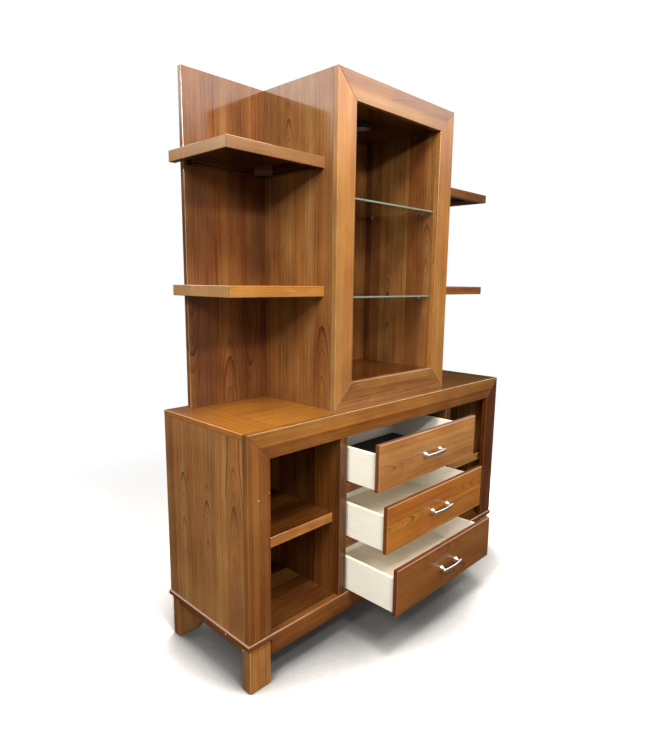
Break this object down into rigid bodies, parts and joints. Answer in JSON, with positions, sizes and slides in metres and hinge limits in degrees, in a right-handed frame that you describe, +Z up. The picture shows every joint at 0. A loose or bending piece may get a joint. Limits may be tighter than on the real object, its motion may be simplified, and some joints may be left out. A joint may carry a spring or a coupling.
{
  "type": "buffet and hutch",
  "caption": "Buffet with side compartments and a bank of centre drawers, under a framed open display case with glass shelves, flat wing panels and cantilevered side shelves.",
  "frame": {"origin": "on the floor, in the middle of the rectangle that the whole piece covers with its drawers as they stand", "axes": "+X to the viewer's right along the front, +Y from the front to the back, +Z up"},
  "size_m": [1.514, 0.727, 1.966],
  "materials": {
    "upright_wood": "semi-gloss lacquer, grain upright",
    "across_wood": "semi-gloss lacquer, grain across",
    "floor_wood": "semi-gloss lacquer, striped grain across",
    "plinth_side_wood": "semi-gloss lacquer, grain front to back",
    "top_veneer": "semi-gloss lacquer, crossbanded ends",
    "back_board": "satin veneered board",
    "side_shelf_wood": "semi-gloss lacquer with paler lippings",
    "cleat_wood": "satin, darker under the shelves",
    "drawer_front_wood": "semi-gloss lacquer with darker edges",
    "drawer_white": "warm white faced board",
    "black_felt": "black felt",
    "shelf_glass": "clear, greenish at the edge",
    "handle_metal": "satin chrome",
    "runner_steel": "zinc-plated steel",
    "nylon": "white nylon",
    "pin_metal": "nickel-plated",
    "lamp_black": "dark brown-black",
    "lamp_glass": "frosted"
  },
  "bodies": {
    "cabinet": {"base_back": "back_board", "base_divider_left": "upright_wood", "base_divider_right": "upright_wood", "base_floor": "floor_wood", "base_rail_top": "across_wood", "base_shelf_left": "floor_wood", "base_shelf_right": "floor_wood", "base_side_left": "upright_wood", "base_side_right": "upright_wood", "base_stile_left": "upright_wood", "base_stile_right": "upright_wood", "base_top": "top_veneer", "centre_runners": "runner_steel", "drawer_rails": "across_wood", "glass_shelves": "shelf_glass", "hutch_back": "back_board", "hutch_ceiling": "floor_wood", "hutch_floor": "floor_wood", "hutch_linings": "upright_wood", "hutch_rail_bottom": "across_wood", "hutch_rail_top": "across_wood", "hutch_side_left": "upright_wood", "hutch_side_right": "upright_wood", "hutch_stile_left": "upright_wood", "hutch_stile_right": "upright_wood", "hutch_top": "across_wood", "lamp_housing": "lamp_black", "lamp_lens": "lamp_glass", "leg_back_left": "upright_wood", "leg_back_right": "upright_wood", "leg_front_left": "upright_wood", "leg_front_right": "upright_wood", "plinth_front": "across_wood", "plinth_left": "plinth_side_wood", "plinth_right": "plinth_side_wood", "rail_glides": "nylon", "shelf_cleats": "cleat_wood", "shelf_pins": "pin_metal", "side_shelf_lower_left": "side_shelf_wood", "side_shelf_lower_right": "side_shelf_wood", "side_shelf_upper_left": "side_shelf_wood", "side_shelf_upper_right": "side_shelf_wood", "wing_left": "upright_wood", "wing_right": "upright_wood"},
    "drawer_top": {"drawer_top_bottom": "drawer_white", "drawer_top_front": "drawer_front_wood", "drawer_top_handle": "handle_metal", "drawer_top_lining": "black_felt", "drawer_top_track": "runner_steel", "drawer_top_walls": "drawer_white"},
    "drawer_middle": {"drawer_middle_bottom": "drawer_white", "drawer_middle_front": "drawer_front_wood", "drawer_middle_handle": "handle_metal", "drawer_middle_track": "runner_steel", "drawer_middle_walls": "drawer_white"},
    "drawer_bottom": {"drawer_bottom_bottom": "drawer_white", "drawer_bottom_front": "drawer_front_wood", "drawer_bottom_handle": "handle_metal", "drawer_bottom_track": "runner_steel", "drawer_bottom_walls": "drawer_white"}
  },
  "joints": [
    {"name": "drawer_top_slide", "type": "slide", "parent": "cabinet", "child": "drawer_top", "axis": [0, -1, 0], "range_m": [-0.14, 0.16]},
    {"name": "drawer_middle_slide", "type": "slide", "parent": "cabinet", "child": "drawer_middle", "axis": [0, -1, 0], "range_m": [-0.182, 0.118]},
    {"name": "drawer_bottom_slide", "type": "slide", "parent": "cabinet", "child": "drawer_bottom", "axis": [0, -1, 0], "range_m": [-0.231, 0.069]}
  ]
}
